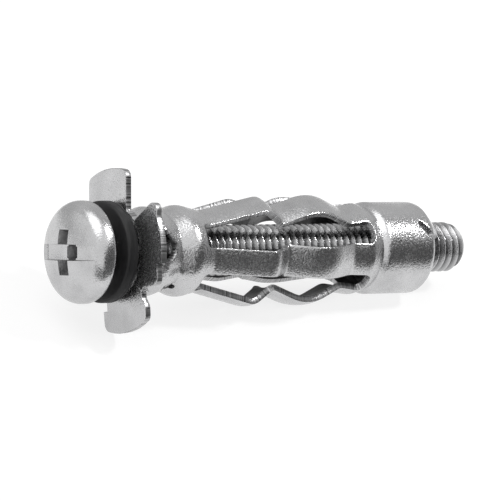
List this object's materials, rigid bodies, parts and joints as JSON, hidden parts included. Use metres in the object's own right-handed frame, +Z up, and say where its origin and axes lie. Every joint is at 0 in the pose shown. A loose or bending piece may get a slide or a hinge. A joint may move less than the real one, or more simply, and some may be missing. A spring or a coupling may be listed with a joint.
{
  "type": "hollow wall anchor",
  "caption": "Metal hollow wall anchor: slotted folded-leg sleeve with a petalled flange, captive nut, plastic washer and pan-head combination-recess machine screw.",
  "frame": {"origin": "middle of the footprint, on the surface that the anchor lies on", "axes": "+Z up; +X from the screw's head towards its tip, along the anchor's axis as seen from above; the axis itself falls by 4.61 degrees towards the tip, because the anchor lies on its flange and its tail"},
  "size_m": [0.0468, 0.0156, 0.0146],
  "materials": {
    "sleeve_zinc": "bright zinc plate on pressed sheet steel, fine grained, with raw sheared edges",
    "nut_zinc": "bright zinc plate on steel",
    "washer_plastic": "black moulded plastic, satin",
    "screw_zinc": "bright zinc plate on rolled steel"
  },
  "bodies": {
    "sleeve_body": {"sleeve": "sleeve_zinc", "nut": "nut_zinc"},
    "washer_body": {"washer": "washer_plastic"},
    "screw_body": {"screw": "screw_zinc"}
  },
  "joints": [
    {"name": "screw_travel", "type": "slide", "parent": "sleeve_body", "child": "washer_body", "axis": [-0.9968, 0, 0.0804], "range_m": [-0.0006, 0.009]},
    {"name": "screw_turn", "type": "hinge", "parent": "washer_body", "child": "screw_body", "pos_m": [-0.01772, 0, 0.00734], "axis": [-0.9968, 0, 0.0804], "range_deg": [-271, 4051]}
  ],
  "couplings": [
    {"joint": "screw_turn", "follows": "screw_travel", "rad_per_m": 7854}
  ]
}
